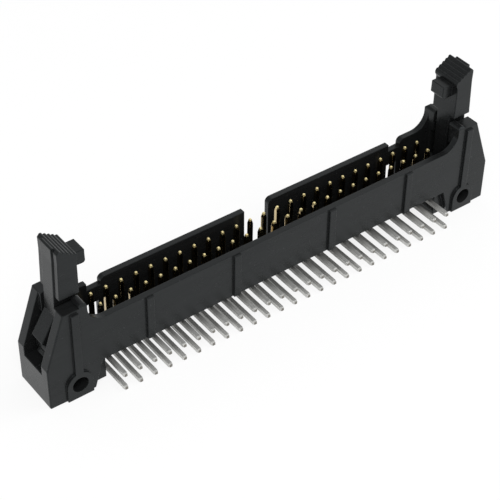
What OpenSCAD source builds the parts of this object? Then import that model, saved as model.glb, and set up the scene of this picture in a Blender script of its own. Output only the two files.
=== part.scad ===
// Right-angle shrouded pin header with two ejector latches.
// X runs along the contact rows, -Y points to the board and Z is the mating direction.
// The header stands on its two end feet at Z = 0.

/* [Contacts] */
// Contacts in each of the two rows
contacts_per_row = 25; // [21:2:27]
// Distance between neighbouring contacts, and between the two rows
pitch = 2.54; // [2.5:0.01:2.6]
// Side of the square contact wire
wire = 0.64; // [0.5:0.01:0.7]
// Length of the taper at a contact's mating point
point_len = 0.8; // [0.4:0.05:1.2]
// Flat left at the end of a contact's mating point
point_flat = 0.3; // [0.2:0.02:0.4]
// Length of the short taper at a tail's end
tail_taper = 0.35; // [0.2:0.05:0.6]
// Flat left at a tail's end
tail_flat = 0.42; // [0.3:0.02:0.46]
// Inside radius of the bend in a contact
bend_r = 0.5; // [0.3:0.05:0.8]
// How far the tails reach past the board face
tail_reach = 2.75; // [2:0.05:4]
// Height of the lower tails' middle above the table
tail_rise = 0.46; // [0.4:0.01:0.6]
// How far the contact points stay below the top of the walls
point_drop = 0.05; // [0:0.05:1.5]
// Play on each side of a contact in its hole
seat_play = 0.02; // [0.01:0.01:0.05]

/* [Shroud] */
// Width of the cavity between the two long walls
cavity_w = 6.14; // [6:0.02:6.6]
// Thickness of the two long walls
wall_t = 0.98; // [0.8:0.02:1.4]
// Height of the floor's underside above the table
floor_rise = 4.7; // [4.4:0.05:5.4]
// Thickness of the floor that holds the contacts
floor_t = 1.4; // [1.2:0.05:2]
// Depth of the cavity from the wall tops to the floor
cavity_depth = 6.5; // [6:0.1:7.5]
// From the last contact to the end of the cavity
end_gap = 3.67; // [3.4:0.01:4.2]
// Width of the key slot in the middle of the back wall
key_w = 4.5; // [4.1:0.1:5]
// Width of the two side notches in the back wall
notch_w = 2.3; // [1.8:0.1:2.6]
// Depth of the side notches
notch_depth = 1.25; // [0.8:0.05:1.6]
// From the last contact on the left to the middle of its notch
notch_left_in = 1.6; // [1.2:0.01:2.4]
// From the last contact on the right to the middle of its notch
notch_right_in = 3.2; // [2.4:0.01:4]
// Height of the sill left under the key slot and the windows
sill_h = 0.35; // [0.25:0.05:0.6]
// Width of the window under a notch
window_w = 2; // [1.6:0.1:2.4]
// From the middle of a notch to the left, to the middle of its window
window_shift = 0.3; // [0:0.05:0.6]
// From a wall top down to the head of that window
window_drop = 4.05; // [3.2:0.05:4.5]
// Rounding of the wall corners that lead into the openings
lead_r = 0.8; // [0.4:0.1:1.2]

/* [Stand-off ribs] */
// Width of a rib on the board side
rib_w = 1.25; // [0.8:0.05:1.6]
// Height of the ribs and screw bosses over the board-side wall
rib_h = 0.4; // [0.2:0.05:0.6]
// From the middle to the inner pair of ribs, counted in contacts
rib_inner = 3.5; // [2.5:1:5.5]
// From the middle to the outer pair of ribs, counted in contacts
rib_outer = 9.5; // [7.5:1:9.5]
// From the top of a wall to the top of its ribs
rib_drop = 0.15; // [0:0.05:0.5]

/* [Ears] */
// Length of an ear past the end of the cavity
ear_len = 7.05; // [6.8:0.05:8]
// Height of the ear's widest point above the table
kink_rise = 7.2; // [6.5:0.1:8]
// How far the ear leans in from its widest point to its shelf
ear_lean = 3.1; // [2.5:0.1:3.4]
// Height of the ear's shelf over the wall tops
shelf_rise = 3.45; // [3.2:0.05:3.5]
// Height of the ear's peak over the wall tops
peak_rise = 3.9; // [3.9:0.05:4.3]
// Width of the ear's peak
peak_w = 1.25; // [1:0.05:1.6]
// Rounding of the peak's corner over the cavity
peak_in_r = 0.45; // [0.3:0.05:0.6]
// Rounding of the peak's other corner
peak_out_r = 0.35; // [0.2:0.05:0.35]
// Bevel on the outer edges of the peak
peak_bevel = 0.3; // [0.1:0.05:0.35]
// Radius of the curve in which the walls rise to the ears
rise_r = 2.8; // [2.4:0.1:3.2]
// From an ear's shelf down to the top of its rib
ear_rib_drop = 0.45; // [0.3:0.05:1]
// Width of the slot between the two plates of an ear
slot_w = 4.7; // [4.5:0.05:5]
// From an ear's shelf down to the undersides of the guides that narrow the slot
guide_h = 3.4; // [2.8:0.1:4]
// Height of the slot's floor above the table
slot_rise = 5.6; // [5.2:0.05:5.8]
// Length of a foot under the end of the cavity
foot_len = 2.85; // [2.4:0.05:3.2]
// Length at the table of the part of a foot that stands back from the board side
relief_len = 2.35; // [1.8:0.05:2.7]
// How much shorter that part is at the floor's underside
relief_slant = 1.4; // [0.5:0.05:1.5]
// How far that part stands back
relief_depth = 0.98; // [0.5:0.02:1.5]

/* [Screw holes] */
// From the end of the cavity to a screw hole
hole_out = 2.19; // [2.1:0.01:3]
// Height of a screw hole above the table
hole_rise = 2.45; // [2.2:0.05:2.8]
// Diameter of a screw hole
hole_d = 2.6; // [2.2:0.1:3]
// Width of the round-topped boss around a screw hole
boss_w = 4.25; // [4:0.05:4.5]

/* [Latches] */
// From the end of the cavity to a latch's pivot
pivot_out = 3.75; // [3.5:0.05:4]
// Height of the pivot over the slot's floor
pivot_rise = 1.8; // [1.7:0.05:2]
// Diameter of a trunnion
trunnion_d = 2; // [1.6:0.1:2.4]
// How far a trunnion goes into its plate
trunnion_len = 0.65; // [0.4:0.05:0.7]
// Radial play of a trunnion in its bearing
trunnion_play = 0.05; // [0.02:0.01:0.08]
// Play at the end of a trunnion
end_play = 0.1; // [0.05:0.01:0.15]
// Play between a latch's hub and the ear on each side
latch_play = 0.25; // [0.2:0.01:0.4]
// Play between a latch's spine and the guides on each side
guide_play = 0.37; // [0.3:0.01:0.5]
// Radius of the hub around the pivot
hub_r = 1.5; // [1.3:0.05:1.6]
// Angle at which the stop nose meets the slot's floor
open_deg = 35; // [30:1:40]
// Distance of the stop nose from the pivot
nose_r = 2; // [1.95:0.05:2.2]
// Width of the stop nose at the pivot
nose_w = 2.4; // [2:0.1:2.5]
// Gap left under the stop nose when the latch is open
nose_gap = 0.05; // [0.02:0.01:0.1]
// Height of a latch above its pivot
latch_h = 18.7; // [17:0.05:20]
// How far the outer face of a latch stays inside the pivot
latch_set = 0.4; // [0.2:0.05:0.6]
// Thickness of a latch along the header
latch_t = 3.2; // [2.9:0.05:3.3]
// Width of the spine that runs down between the guides
spine_w = 2.75; // [2.4:0.05:2.9]
// Width of the head above the ear
head_w = 5; // [4.6:0.05:5.4]
// Gap between an ear's peak and the head
head_gap = 0.9; // [0.4:0.05:1.2]
// How far the spine stands out behind the head's two cheeks
spine_proud = 0.2; // [0.1:0.05:0.4]
// Rounding of the cheeks' outer corners at the thumb grip
cheek_r = 0.4; // [0.2:0.05:0.5]
// How much further out the outer face stands where it begins to flare
flare_lean = 0.35; // [0.1:0.05:0.45]
// Height above the pivot at which the outer face begins to flare to the heel
flare_rise = 6.5; // [6:0.1:7]
// How far the heel stands out past the pivot
heel_out = 2.3; // [2.1:0.05:2.5]
// Height of the heel above the pivot
heel_rise = 2.6; // [2.4:0.1:3.2]
// Fall of the thumb grip towards the cavity
grip_fall = 2.1; // [1.6:0.05:2.3]
// Length of the thumb grip along the header
grip_len = 3.45; // [3.35:0.05:3.6]
// Rounding of the spine's outer corner at the thumb grip
grip_r = 0.25; // [0.1:0.05:0.4]
// Number of ridges on the thumb grip
grip_ridges = 5; // [3:1:5]
// Distance from ridge to ridge along the header
ridge_pitch = 0.6; // [0.5:0.01:0.62]
// Radius of a ridge on the thumb grip
ridge_r = 0.3; // [0.24:0.02:0.36]
// Height of a ridge over the thumb grip
ridge_h = 0.15; // [0.1:0.01:0.2]
// Thickness of the thumb grip's lip
lip_t = 0.5; // [0.4:0.05:0.55]
// Height over which the lip's underside runs back to the inner face
lip_neck = 0.5; // [0.3:0.05:0.7]
// How far the hook reaches past the inner face
hook_reach = 1.9; // [1.5:0.05:2.2]
// From the top of a latch to the top of its hook
hook_drop = 2.65; // [2.6:0.05:2.9]
// Height of the hook
hook_h = 2.25; // [1.8:0.05:2.6]
// Rounding of the hook's underside
hook_r = 0.45; // [0.3:0.05:0.9]
// Reach of the ejector foot into the cavity
eject_reach = 1.85; // [1.5:0.05:2.2]
// Height over the pivot at which the ejector foot leaves the latch
eject_root = 0.75; // [0.5:0.05:1.2]
// Thickness of the ejector foot at its tip
eject_t = 0.9; // [0.6:0.05:1.2]
// Play between the ejector foot and the slot on each side
eject_play = 0.35; // [0.3:0.05:0.6]
// Gap between the ejector foot and the cavity floor when the latch is closed
eject_gap = 0.2; // [0.1:0.05:0.3]

/* [Hidden] */
$fn = 48;
cut = 0.5;
last_x = (contacts_per_row - 1) / 2 * pitch;
row_y = pitch / 2;
lower_z = tail_rise;
upper_z = tail_rise + pitch;
cavity_half = cavity_w / 2;
body_half = cavity_half + wall_t;
floor_z = floor_rise + floor_t;
wall_top = floor_z + cavity_depth;
board_y = -body_half - rib_h;
tail_end = board_y - tail_reach;
cavity_end = last_x + end_gap;
ear_end = cavity_end + ear_len;
shelf_end = ear_end - ear_lean;
foot_in = cavity_end - foot_len;
peak_end = cavity_end + peak_w;
peak_z = wall_top + peak_rise;
shelf_z = wall_top + shelf_rise;
hole_x = cavity_end + hole_out;
slot_half = slot_w / 2;
guide_half = spine_w / 2 + guide_play;
guide_z = shelf_z - guide_h;
pivot_x = cavity_end + pivot_out;
pivot_z = slot_rise + pivot_rise;
hub_half = slot_half - latch_play;
eject_half = slot_half - eject_play;
trunnion_end = slot_half + trunnion_len;
latch_top = pivot_z + latch_h;
latch_out = pivot_x - latch_set;
latch_in = latch_out - latch_t;
head_half = head_w / 2;
head_z = peak_z + head_gap;
grip_in = latch_out - grip_len;
grip_z = latch_top - grip_fall;
lip_z = grip_z - lip_t;
flare_z = pivot_z + flare_rise;
hook_in = latch_in - hook_reach;
hook_z = latch_top - hook_drop;
eject_z = floor_z + eject_gap;
grip_deg = atan(grip_fall / grip_len);
nose_deg = open_deg - asin((pivot_rise - nose_gap) / nose_r);
rib_places = [for (side = [-1, 1], n = [rib_inner, rib_outer]) side * n * pitch];
notch_places = [-last_x + notch_left_in, last_x - notch_right_in];
plastic = [0.16, 0.165, 0.17];
latch_plastic = [0.19, 0.195, 0.2];
plated = [0.78, 0.72, 0.55];

function row_x(i) = (i - 1) * pitch - last_x;
function two_digits(i) = i < 10 ? str("0", i) : str(i);
function contact_name(row, i) = str("contact_", row, "_", two_digits(i));

// Raises an outline drawn in X and Z to a solid between two places on Y.
module across(y0, y1) {
    translate([0, y1, 0])
        rotate([90, 0, 0])
            linear_extrude(height = y1 - y0)
                children();
}

// The bit that a rounding takes off a corner at the origin, of a shape in the quadrant x > 0, y > 0.
module corner_bit(r) {
    difference() {
        translate([-cut, -cut])
            square(r + cut);
        translate([r, r])
            circle(r);
    }
}

module both_ends() {
    children();
    mirror([1, 0, 0])
        children();
}

// Outline of one end of the housing, seen along Y: foot, leaning end, shelf, peak and rising wall.
module ear_outline() {
    rise_x = cavity_end - rise_r;
    difference() {
        polygon([
            [foot_in, 0],
            [ear_end, 0],
            [ear_end, kink_rise],
            [shelf_end, shelf_z],
            [peak_end, shelf_z],
            [peak_end, peak_z],
            [rise_x, peak_z],
            [rise_x, floor_rise],
            [foot_in, floor_rise]
        ]);
        translate([rise_x, wall_top + rise_r])
            circle(rise_r);
        translate([rise_x - cut, wall_top + rise_r])
            square([rise_r + cut, peak_rise]);
        translate([peak_end, peak_z])
            rotate(180)
                corner_bit(peak_out_r);
        translate([cavity_end, peak_z])
            rotate(270)
                corner_bit(peak_in_r);
    }
}

module body_outline() {
    wall_half = cavity_end - rise_r + cut;
    translate([-wall_half, floor_rise])
        square([2 * wall_half, wall_top - floor_rise]);
    both_ends()
        ear_outline();
}

// Stand-off ribs and screw bosses, all with their faces on the board.
module board_side() {
    across(board_y, -body_half + cut) {
        for (x = rib_places)
            translate([x - rib_w / 2, floor_rise])
                square([rib_w, wall_top - rib_drop - floor_rise]);
        both_ends() {
            translate([hole_x - rib_w / 2, hole_rise])
                square([rib_w, shelf_z - ear_rib_drop - hole_rise]);
            translate([hole_x, hole_rise])
                circle(d = boss_w);
            translate([hole_x - boss_w / 2, 0])
                square([boss_w, hole_rise]);
        }
    }
}

// An opening in the back wall, with the rounded lead-in corner on its right.
module wall_opening(x, w, z) {
    across(cavity_half, body_half + cut) {
        translate([x - w / 2, z])
            square([w, wall_top + cut - z]);
        translate([x + w / 2, wall_top])
            mirror([0, 1])
                corner_bit(lead_r);
    }
}

module wall_openings() {
    sill_z = floor_rise + sill_h;
    wall_opening(0, key_w, sill_z);
    for (x = notch_places) {
        wall_opening(x, notch_w, wall_top - notch_depth);
        across(cavity_half, body_half + cut)
            translate([x - window_shift - window_w / 2, sill_z])
                square([window_w, wall_top - window_drop - sill_z]);
    }
}

module contact_holes() {
    hole = wire + 2 * seat_play;
    for (i = [1:contacts_per_row], y = [-row_y, row_y])
        translate([row_x(i) - hole / 2, y - hole / 2, floor_rise - cut])
            cube([hole, hole, floor_t + 2 * cut]);
}

// The latch slot of one ear, narrowed by guides between the end of the cavity and the end of the shelf.
module latch_slot() {
    translate([cavity_end - cut, -guide_half, slot_rise])
        cube([ear_len + 2 * cut, 2 * guide_half, peak_z]);
    translate([cavity_end - cut, -slot_half, slot_rise])
        cube([ear_len + 2 * cut, slot_w, guide_z - slot_rise]);
    translate([shelf_end, -slot_half, slot_rise])
        cube([ear_lean + cut, slot_w, peak_z]);
}

// What bevels the outer edges of the two peaks of an ear.
module peak_edges() {
    translate([cavity_end - cut, 0, peak_z])
        rotate([90, 0, 90])
            linear_extrude(height = peak_w + 2 * cut)
                for (side = [0, 1])
                    mirror([side, 0])
                        polygon([
                            [body_half - peak_bevel, 0],
                            [body_half, -peak_bevel],
                            [body_half + cut, -peak_bevel],
                            [body_half + cut, cut],
                            [body_half - peak_bevel, cut]
                        ]);
}

// What is taken out at one end: latch slot, bearings, screw hole and the relieved part of the foot.
module end_cuts() {
    latch_slot();
    peak_edges();
    translate([pivot_x, 0, pivot_z])
        rotate([90, 0, 0])
            cylinder(d = trunnion_d + 2 * trunnion_play, h = 2 * (trunnion_end + end_play), center = true);
    translate([hole_x, body_half + cut, hole_rise])
        rotate([90, 0, 0])
            cylinder(d = hole_d, h = body_half - board_y + 2 * cut);
    across(-body_half - cut, -body_half + relief_depth)
        polygon([
            [foot_in - cut, 0],
            [foot_in + relief_len, 0],
            [foot_in + relief_len - relief_slant, floor_rise],
            [foot_in - cut, floor_rise]
        ]);
}

module housing() {
    color(plastic)
        difference() {
            union() {
                across(-body_half, body_half)
                    body_outline();
                board_side();
            }
            translate([-cavity_end, -cavity_half, floor_z])
                cube([2 * cavity_end, cavity_w, peak_z]);
            wall_openings();
            contact_holes();
            both_ends()
                end_cuts();
        }
}

// A square taper that stands on the origin.
module taper(len, flat) {
    outline = [[-wire / 2, 0], [wire / 2, 0], [flat / 2, len], [-flat / 2, len]];
    intersection() {
        across(-wire, wire)
            polygon(outline);
        rotate([0, 0, 90])
            across(-wire, wire)
                polygon(outline);
    }
}

// One bent contact: post through the floor, bend, tail to the board and a taper at each end.
module contact(x, y, tail_z) {
    inside_z = tail_z + wire / 2 + bend_r;
    bend_y = y - wire / 2 - bend_r;
    post_top = wall_top - point_drop - point_len;
    tail_start = tail_end + tail_taper;
    color(plated) {
        translate([x - wire / 2, 0, 0])
            rotate([90, 0, 90])
                linear_extrude(height = wire) {
                    translate([y - wire / 2, inside_z])
                        square([wire, post_top - inside_z]);
                    translate([tail_start, tail_z - wire / 2])
                        square([bend_y - tail_start, wire]);
                    translate([bend_y, inside_z])
                        intersection() {
                            difference() {
                                circle(bend_r + wire);
                                circle(bend_r);
                            }
                            translate([0, -bend_r - wire])
                                square(bend_r + wire);
                        }
                }
        translate([x, y, post_top])
            taper(point_len, point_flat);
        translate([x, tail_start, tail_z])
            rotate([90, 0, 0])
                taper(tail_taper, tail_flat);
    }
}

// What rounds off an outer corner of the thumb grip, which lies at x and z.
module grip_corner(x, z, r) {
    reach = r / tan((90 - grip_deg) / 2);
    middle = [x - r, z - reach];
    touch = [x - reach * cos(grip_deg), z - reach * sin(grip_deg)];
    difference() {
        polygon([
            middle,
            [x + cut, z - reach],
            [x + cut, z + cut],
            touch + cut * [-sin(grip_deg), cos(grip_deg)]
        ]);
        translate(middle)
            circle(r);
    }
}

// Side view of the spine: inner face, hub, heel, outer face flaring to the heel, and thumb grip with its lip.
module spine_outline() {
    difference() {
        polygon([
            [latch_in, eject_z],
            [pivot_x, eject_z],
            [pivot_x, pivot_z],
            [pivot_x + heel_out, pivot_z + heel_rise],
            [latch_out + flare_lean, flare_z],
            [latch_out, lip_z],
            [latch_out, latch_top],
            [grip_in, grip_z],
            [grip_in, lip_z],
            [latch_in, lip_z - lip_neck]
        ]);
        grip_corner(latch_out, latch_top, grip_r);
    }
}

// Side view of the head's cheeks, which follow the spine above the ear.
module head_outline() {
    out = latch_out - spine_proud;
    top = latch_top - spine_proud * tan(grip_deg);
    lean = flare_lean * (lip_z - head_z) / (lip_z - flare_z);
    difference() {
        polygon([
            [latch_in, head_z],
            [out + lean, head_z],
            [out, lip_z],
            [out, top],
            [grip_in, grip_z],
            [grip_in, lip_z],
            [latch_in, lip_z - lip_neck]
        ]);
        grip_corner(out, top, cheek_r);
    }
}

// Side view of the stop nose, a tooth that stands out of the hub.
module nose_outline() {
    translate([pivot_x, pivot_z])
        rotate(nose_deg)
            polygon([[0, -nose_w / 2], [nose_r, 0], [0, nose_w / 2]]);
}

module hook_outline() {
    difference() {
        translate([hook_in, hook_z - hook_h])
            square([hook_reach + latch_t / 2, hook_h]);
        translate([hook_in, hook_z - hook_h])
            corner_bit(hook_r);
    }
}

// Side view of the ejector foot that lifts the plug.
module eject_outline() {
    tip = cavity_end - eject_reach;
    polygon([
        [tip, eject_z],
        [pivot_x, eject_z],
        [pivot_x, pivot_z + eject_root],
        [latch_in, pivot_z + eject_root],
        [tip, eject_z + eject_t]
    ]);
}

// Ridges across the thumb grip, counted from its lip and each sunk until ridge_h stands out.
module grip_ridges() {
    sunk = ridge_r - ridge_h;
    for (i = [0:grip_ridges - 1]) {
        along = (i + 1 / 2) * ridge_pitch;
        translate([
            grip_in + along + sunk * sin(grip_deg),
            0,
            grip_z + along * tan(grip_deg) - sunk * cos(grip_deg)
        ])
            rotate([90, 0, 0])
                cylinder(r = ridge_r, h = head_w, center = true);
    }
}

// The right-hand latch. The left-hand one is its mirror image.
module latch() {
    color(latch_plastic) {
        across(-spine_w / 2, spine_w / 2) {
            spine_outline();
            hook_outline();
            nose_outline();
        }
        across(-head_half, head_half)
            head_outline();
        across(-eject_half, eject_half)
            eject_outline();
        grip_ridges();
        translate([pivot_x, 0, pivot_z])
            rotate([90, 0, 0]) {
                cylinder(r = hub_r, h = 2 * hub_half, center = true);
                cylinder(d = trunnion_d, h = 2 * trunnion_end, center = true);
            }
    }
}

housing();
mirror([1, 0, 0]) latch();  // latch_left
latch();  // latch_right
for (i = [1:contacts_per_row]) {
    contact(row_x(i), -row_y, upper_z);
    contact(row_x(i), row_y, lower_z);
}
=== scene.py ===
"""Looks of a latched right-angle header: moulded plastic, plated contacts, studio and camera."""

import math

import bpy
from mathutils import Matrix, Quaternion, Vector

MM = 0.001

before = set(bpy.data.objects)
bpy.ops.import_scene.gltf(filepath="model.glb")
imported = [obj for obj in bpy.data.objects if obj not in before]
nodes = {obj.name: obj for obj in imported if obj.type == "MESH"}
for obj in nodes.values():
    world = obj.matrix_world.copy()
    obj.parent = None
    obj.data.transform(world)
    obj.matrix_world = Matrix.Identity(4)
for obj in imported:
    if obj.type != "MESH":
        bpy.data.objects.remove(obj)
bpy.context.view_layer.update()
scene = bpy.context.scene

# Camera, fitted to the outline in the photograph
CAMERA_AT = Vector((-108.897, -139.066, 157.388)) * MM
CAMERA_FORWARD = Vector((0.45868, 0.60495, -0.65088))
CAMERA_ROLL = math.radians(0.834)
CAMERA_LENS = 110.301
CAMERA_CLIP = (0.01, 20)
SENSOR = 36

# Studio: a floor just under the feet, a sky that darkens overhead and to the left, two lamps
WHITE = (1, 1, 1, 1)
FLOOR_SIZE = 6.0
FLOOR_Z = -0.02 * MM
FLOOR_COLOUR = (0.9, 0.9, 0.9, 1)
FLOOR_WHITE = 0.82
SKY_LOW = 0.96
SKY_HIGH = 0.4
SKY_LEFT = 0.55
SKY_TURN_Z = (0.6, 0.9)
SKY_TURN_X = (-0.5, 0.1)
LAMPS = (
    # name, place in metres, size in metres, watts
    ("key", (-0.35, -0.45, 0.75), 0.5, 5.3),
    ("fill", (0.6, -0.25, 0.5), 0.5, 1.7),
)

# Noises: scale for each millimetre, detail and roughness
GRAIN = (7.0, 3.0, 0.6)
FLOW = (1.0, 4.0, 0.6)
HANDLED = (0.16, 3.0, 0.55)
SPECKS = (2.4, 1.0, 0.4)
DRAWN = (1.0, 3.0, 0.6)
SPOTS = (1.6, 3.0, 0.55)
FLOW_STRETCH = (0.12, 0.9, 0.9)
DRAWN_STRETCH = (5, 0.25, 5)
# Part of a noise's range over which a tone changes
MIDDLE = (0.3, 0.7)
GRAIN_WEAR = (0.4, 0.7)
FLOW_GLOSS = (0.25, 0.75)
SPECK_EDGE = (0.765, 0.79)
BUMP_STRENGTH = 0.2
BUMP_DEPTH = 0.004 * MM
BEVEL_SAMPLES = 8

# Plastic
PLASTIC_DARK = (0.0075, 0.0078, 0.008, 1)
PLASTIC_PALE = (0.0105, 0.011, 0.0112, 1)
PLASTIC_WORN = (0.03, 0.031, 0.032, 1)
PLASTIC_TINT = (0.9, 1.0, 1.03, 1)
PLASTIC_SPECULAR = 0.2
HOUSING_ROUGHNESS = 0.28
LATCH_ROUGHNESS = 0.26
FLOW_SPREAD = 0.03
HANDLED_SPREAD = 0.04
WEAR_TURN = (0.01, 0.2)
WEAR_MOST = 0.3
# Radius within which the material softens an edge
HOUSING_SOFT = 0.09 * MM
LATCH_SOFT = 0.12 * MM
TAIL_SOFT = 0.07 * MM
POST_SOFT = 0.16 * MM

# Contacts, with pairs of colours for the two ends of a noise
TIN = ((0.52, 0.52, 0.505, 1), (0.64, 0.64, 0.62, 1))
# Painted shade: darker tin on the tails near their roots, by the housing
TIN_ROOT_SHADE = (0.24, 0.24, 0.23, 1)
TIN_CUT = (0.2, 0.19, 0.17, 1)
# Painted shade and highlight: darker gold on the post, paler gold on the point
SHADED_PLATING = ((0.5, 0.39, 0.21, 1), (0.6, 0.48, 0.28, 1))
HIGHLIGHT_POINT = ((0.9, 0.76, 0.38, 1), (0.96, 0.84, 0.46, 1))
POST_ROUGHNESS = 0.1
POINT_ROUGHNESS = 0.45
TIN_ROUGHNESS = (0.4, 0.52)
TIN_METALLIC = 0.68
# Heights in millimetres: plating change in the housing's floor, and start of the points, where
# the gold is painted lighter as a highlight
PLATING_Z = (5.4, 5.8)
POINT_Z = (12.15, 12.25)
# Places along a tail in millimetres: its cut end, and the stretch by its root, where the tin is
# painted darker as shade from the housing
CUT_Y = (-7.17, -7.09)
ROOT_SHADE_Y = (-6.0, -4.2)
ROOT_SHADE_MOST = 0.8

# Edges: least angle, least length in metres, and radii in metres
EDGE_ANGLE = math.radians(40)
EDGE_LENGTH = 0.5 * MM
EDGE_R = 0.1 * MM
CORNER_R = 0.2 * MM
WIRE_R = 0.03 * MM
EDGE_SEGMENTS = 3
WIRE_SEGMENTS = 2
# Gaps closed before and after the bevel, and the angle up to which faces count as flat
WELD_GAP = 0.0005 * MM
JOIN_GAP = 0.002 * MM
FLAT_ANGLE = math.radians(0.5)
# Outline of an ear in metres, whose outer corners have the larger radius
EAR_END = 41.2 * MM
EAR_SIDE = 4.05 * MM
EAR_LEAN = 3.1 * MM
EAR_LEAN_Z = (7.2 * MM, 16.05 * MM)
NEAR = 0.02 * MM


class Graph:
    """Adds nodes to a tree and links them by socket name, or by number as i0, i1 and so on."""

    def __init__(self, tree):
        self.tree = tree

    def add(self, kind, settings=None, **sockets):
        node = self.tree.nodes.new(kind)
        for key, value in (settings or {}).items():
            setattr(node, key, value)
        for key, value in sockets.items():
            self.put(node, key.replace("_", " "), value)
        return node

    def put(self, node, key, value):
        socket = node.inputs[int(key[1:])] if key[1:].isdigit() else node.inputs[key]
        if isinstance(value, bpy.types.NodeSocket):
            self.tree.links.new(value, socket)
        elif isinstance(value, bpy.types.Node):
            self.tree.links.new(value.outputs[0], socket)
        else:
            socket.default_value = value

    def maths(self, operation, a, b=0.0):
        return self.add("ShaderNodeMath", {"operation": operation}, i0=a, i1=b).outputs[0]

    def ramp(self, value, low, high, to_low=0.0, to_high=1.0):
        node = self.add("ShaderNodeMapRange", {"clamp": True}, Value=value)
        self.put(node, "From Min", low)
        self.put(node, "From Max", high)
        self.put(node, "To Min", to_low)
        self.put(node, "To Max", to_high)
        return node.outputs[0]

    def between(self, share, a, b):
        """Number from a, where the share is 0, to b, where it is 1."""
        return self.ramp(share, 0, 1, a, b)

    def blend(self, share, a, b):
        """Colour from a, where the share is 0, to b, where it is 1."""
        node = self.add("ShaderNodeMix", {"data_type": "RGBA"}, i0=share, i6=a, i7=b)
        return node.outputs[2]

    def noise(self, kind, stretch=(1, 1, 1)):
        scale, detail, roughness = kind
        node = self.add("ShaderNodeTexNoise", Vector=self.place(stretch), Scale=scale,
                        Detail=detail, Roughness=roughness)
        return node.outputs["Fac"]

    def place(self, stretch=(1, 1, 1)):
        """Place on the part in millimetres, with each axis stretched."""
        coordinates = self.add("ShaderNodeTexCoord").outputs["Object"]
        node = self.add("ShaderNodeMapping", {"vector_type": "POINT"}, Vector=coordinates,
                        Scale=[s / MM for s in stretch])
        return node.outputs[0]

    def axes(self, vector):
        return self.add("ShaderNodeSeparateXYZ", Vector=vector).outputs

    def rounded(self, radius):
        """Normal that is rounded within the radius of an edge."""
        return self.add("ShaderNodeBevel", {"samples": BEVEL_SAMPLES}, Radius=radius).outputs[0]

    def wear(self, rounded):
        """1 on edges, where the rounded normal leaves the face's own, and 0 on open faces."""
        own = self.add("ShaderNodeNewGeometry").outputs["True Normal"]
        dot = self.add("ShaderNodeVectorMath", {"operation": "DOT_PRODUCT"}, i0=rounded, i1=own)
        return self.ramp(self.maths("SUBTRACT", 1.0, dot.outputs["Value"]), *WEAR_TURN)

    def bump(self, height, normal):
        return self.add("ShaderNodeBump", Strength=BUMP_STRENGTH, Distance=BUMP_DEPTH,
                        Height=height, Normal=normal)

    def surface(self, shader):
        self.add("ShaderNodeOutputMaterial", Surface=shader)


def material(name):
    made = bpy.data.materials.new(name)
    made.use_nodes = True
    made.node_tree.nodes.clear()
    return made, Graph(made.node_tree)


def moulded_plastic(name, roughness, soft):
    """Black moulded plastic: fine grain, flow marks, uneven gloss, soft edges and pale specks."""
    made, g = material(name)
    grain = g.noise(GRAIN)
    flow = g.noise(FLOW, FLOW_STRETCH)
    handled = g.noise(HANDLED)
    specks = g.ramp(g.noise(SPECKS), *SPECK_EDGE)
    rounded = g.rounded(soft)
    worn = g.maths("MULTIPLY", g.wear(rounded), g.ramp(grain, *GRAIN_WEAR, 0.0, WEAR_MOST))
    tone = g.blend(g.ramp(flow, *MIDDLE), PLASTIC_DARK, PLASTIC_PALE)
    colour = g.blend(g.maths("MAXIMUM", worn, specks), tone, PLASTIC_WORN)
    gloss = g.maths(
        "ADD",
        g.ramp(flow, *FLOW_GLOSS, roughness - FLOW_SPREAD, roughness + FLOW_SPREAD),
        g.ramp(handled, *MIDDLE, -HANDLED_SPREAD, HANDLED_SPREAD),
    )
    g.surface(g.add(
        "ShaderNodeBsdfPrincipled", Base_Color=colour, Roughness=gloss,
        Specular_IOR_Level=PLASTIC_SPECULAR, Specular_Tint=PLASTIC_TINT,
        Normal=g.bump(grain, rounded),
    ))
    return made


def plated_contact():
    """Square wire: polished gold on the post, painted darker as shade, a satin point painted
    lighter as a highlight, and dull tin on the tail, painted darker near its root as shade.
    """
    made, g = material("plated_contact")
    place = g.axes(g.place())
    gold = g.ramp(place["Z"], *PLATING_Z)
    not_gold = g.maths("SUBTRACT", 1.0, gold)
    point = g.ramp(place["Z"], *POINT_Z)
    cut = g.ramp(place["Y"], *CUT_Y, 1.0, 0.0)
    # Painted shade: the tail darkens towards its root
    root = g.ramp(place["Y"], *ROOT_SHADE_Y, 0.0, ROOT_SHADE_MOST)
    drawn = g.noise(DRAWN, DRAWN_STRETCH)
    spots = g.ramp(g.noise(SPOTS), *MIDDLE)
    tin = g.blend(g.ramp(drawn, *MIDDLE), *TIN)
    tail = g.blend(cut, g.blend(root, tin, TIN_ROOT_SHADE), TIN_CUT)
    # Painted shade on the post and painted highlight on the point
    post = g.blend(point, g.blend(spots, *SHADED_PLATING), g.blend(spots, *HIGHLIGHT_POINT))
    gloss = g.maths(
        "ADD",
        g.maths("MULTIPLY", gold, g.between(point, POST_ROUGHNESS, POINT_ROUGHNESS)),
        g.maths("MULTIPLY", not_gold, g.ramp(drawn, *MIDDLE, *TIN_ROUGHNESS)),
    )
    rounded = g.rounded(g.between(gold, TAIL_SOFT, POST_SOFT))
    g.surface(g.add(
        "ShaderNodeBsdfPrincipled", Base_Color=g.blend(gold, tail, post), Roughness=gloss,
        Metallic=g.between(gold, TIN_METALLIC, 1.0),
        Normal=g.bump(g.maths("MULTIPLY", drawn, not_gold), rounded),
    ))
    return made


def dress(obj, made):
    obj.data.materials.clear()
    obj.data.materials.append(made)


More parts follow.
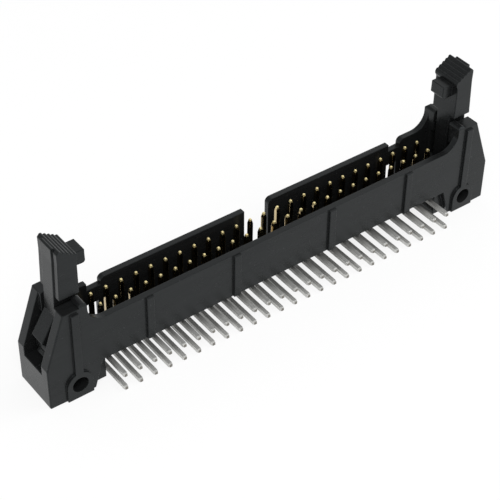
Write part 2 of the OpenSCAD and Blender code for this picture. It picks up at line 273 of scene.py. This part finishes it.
def edge_marks():
    """Node group that weighs long outer edges for a bevel, the ears' outer corners most."""
    tree = bpy.data.node_groups.new("edge_marks", "GeometryNodeTree")
    for way in ("INPUT", "OUTPUT"):
        tree.interface.new_socket("Geometry", in_out=way, socket_type="NodeSocketGeometry")
    g = Graph(tree)
    edge = g.add("GeometryNodeInputMeshEdgeVertices").outputs
    ends = edge["Position 1"], edge["Position 2"]
    angle = g.add("GeometryNodeInputMeshEdgeAngle").outputs["Signed Angle"]
    length = g.add("ShaderNodeVectorMath", {"operation": "DISTANCE"}, i0=ends[0], i1=ends[1])
    outer = g.maths("GREATER_THAN", angle, EDGE_ANGLE)
    long = g.maths("GREATER_THAN", length.outputs["Value"], EDGE_LENGTH)

    past, sides, heights = [], [], []
    for end in ends:
        place = g.axes(end)
        outline = g.ramp(place["Z"], *EAR_LEAN_Z, EAR_END, EAR_END - EAR_LEAN)
        past.append(g.maths("SUBTRACT", g.maths("ABSOLUTE", place["X"]), outline))
        sides.append(g.maths("ABSOLUTE", place["Y"]))
        heights.append(place["Z"])
    on_end = g.maths("GREATER_THAN", g.maths("MINIMUM", *past), -NEAR)
    at_side = g.maths("GREATER_THAN", g.maths("MINIMUM", *sides), EAR_SIDE - NEAR)
    at_foot = g.maths("LESS_THAN", g.maths("MAXIMUM", *heights), NEAR)
    corner = g.maths("MULTIPLY", on_end, g.maths("MAXIMUM", at_side, at_foot))

    weight = g.maths("MULTIPLY", g.maths("MULTIPLY", outer, long),
                     g.between(corner, EDGE_R / CORNER_R, 1.0))
    marked = g.add("GeometryNodeStoreNamedAttribute", {"data_type": "FLOAT", "domain": "EDGE"},
                   Geometry=g.add("NodeGroupInput"), Name="bevel_weight_edge", Value=weight)
    g.add("NodeGroupOutput", i0=marked)
    return tree


def clean_faces(obj):
    """Joins the triangles of each flat face."""
    weld = obj.modifiers.new("weld", "WELD")
    weld.merge_threshold = WELD_GAP
    flat = obj.modifiers.new("flat", "DECIMATE")
    flat.decimate_type = "DISSOLVE"
    flat.angle_limit = FLAT_ANGLE


def soften_moulding(obj, marks):
    """Moulded radius on the long outer edges of a plastic piece."""
    clean_faces(obj)
    obj.modifiers.new("marks", "NODES").node_group = marks
    bevel = obj.modifiers.new("edges", "BEVEL")
    bevel.width = CORNER_R
    bevel.segments = EDGE_SEGMENTS
    bevel.limit_method = "WEIGHT"
    bevel.use_clamp_overlap = False
    joined = obj.modifiers.new("joined", "WELD")
    joined.merge_threshold = JOIN_GAP


def soften_wire(obj):
    """Drawn radius on the edges of a contact."""
    clean_faces(obj)
    bevel = obj.modifiers.new("edges", "BEVEL")
    bevel.width = WIRE_R
    bevel.segments = WIRE_SEGMENTS
    bevel.limit_method = "ANGLE"
    bevel.angle_limit = EDGE_ANGLE


def make_floor():
    """Matt floor that keeps the shadow and is white to camera, glossy and transmission rays."""
    bpy.ops.mesh.primitive_plane_add(size=FLOOR_SIZE, location=(0, 0, FLOOR_Z))
    floor = bpy.context.object
    floor.name = "floor"
    made, g = material("floor_white")
    rays = g.add("ShaderNodeLightPath").outputs
    seen = g.maths("MAXIMUM", rays["Is Camera Ray"], rays["Is Glossy Ray"])
    seen = g.maths("MAXIMUM", seen, rays["Is Transmission Ray"])
    matt = g.add("ShaderNodeBsdfDiffuse", Color=FLOOR_COLOUR)
    white = g.add("ShaderNodeEmission", Color=WHITE, Strength=1.0)
    share = g.maths("MULTIPLY", seen, FLOOR_WHITE)
    g.surface(g.add("ShaderNodeMixShader", i0=share, i1=matt, i2=white))
    floor.data.materials.append(made)


def make_sky():
    world = bpy.data.worlds.new("studio")
    scene.world = world
    world.use_nodes = True
    world.node_tree.nodes.clear()
    g = Graph(world.node_tree)
    direction = g.axes(g.add("ShaderNodeTexCoord").outputs["Generated"])
    strength = g.maths("MULTIPLY", g.ramp(direction["Z"], *SKY_TURN_Z, SKY_LOW, SKY_HIGH),
                       g.ramp(direction["X"], *SKY_TURN_X, SKY_LEFT, 1.0))
    sky = g.add("ShaderNodeBackground", Color=WHITE, Strength=strength)
    g.add("ShaderNodeOutputWorld", Surface=sky)


def put_in_scene(data, place, turn):
    obj = bpy.data.objects.new(data.name, data)
    obj.location = place
    obj.rotation_mode = "QUATERNION"
    obj.rotation_quaternion = turn
    scene.collection.objects.link(obj)
    return obj


def make_lamps():
    """Lamps that point at the middle of the part."""
    for name, place, size, watts in LAMPS:
        lamp = bpy.data.lights.new(name, "AREA")
        lamp.size = size
        lamp.energy = watts
        put_in_scene(lamp, place, (-Vector(place)).to_track_quat("-Z", "Y"))


def make_camera():
    camera = bpy.data.cameras.new("camera")
    camera.lens = CAMERA_LENS
    camera.sensor_width = SENSOR
    camera.clip_start, camera.clip_end = CAMERA_CLIP
    turn = CAMERA_FORWARD.to_track_quat("-Z", "Y") @ Quaternion((0, 0, 1), CAMERA_ROLL)
    scene.camera = put_in_scene(camera, CAMERA_AT, turn)


housing_plastic = moulded_plastic("housing_plastic", HOUSING_ROUGHNESS, HOUSING_SOFT)
latch_plastic = moulded_plastic("latch_plastic", LATCH_ROUGHNESS, LATCH_SOFT)
contact_metal = plated_contact()
marks = edge_marks()
for name, obj in nodes.items():
    if name.startswith("contact"):
        dress(obj, contact_metal)
        soften_wire(obj)
    else:
        dress(obj, housing_plastic if name == "housing" else latch_plastic)
        soften_moulding(obj, marks)

make_floor()
make_sky()
make_lamps()
make_camera()
scene.view_settings.view_transform = "Standard"

bpy.context.view_layer.update()
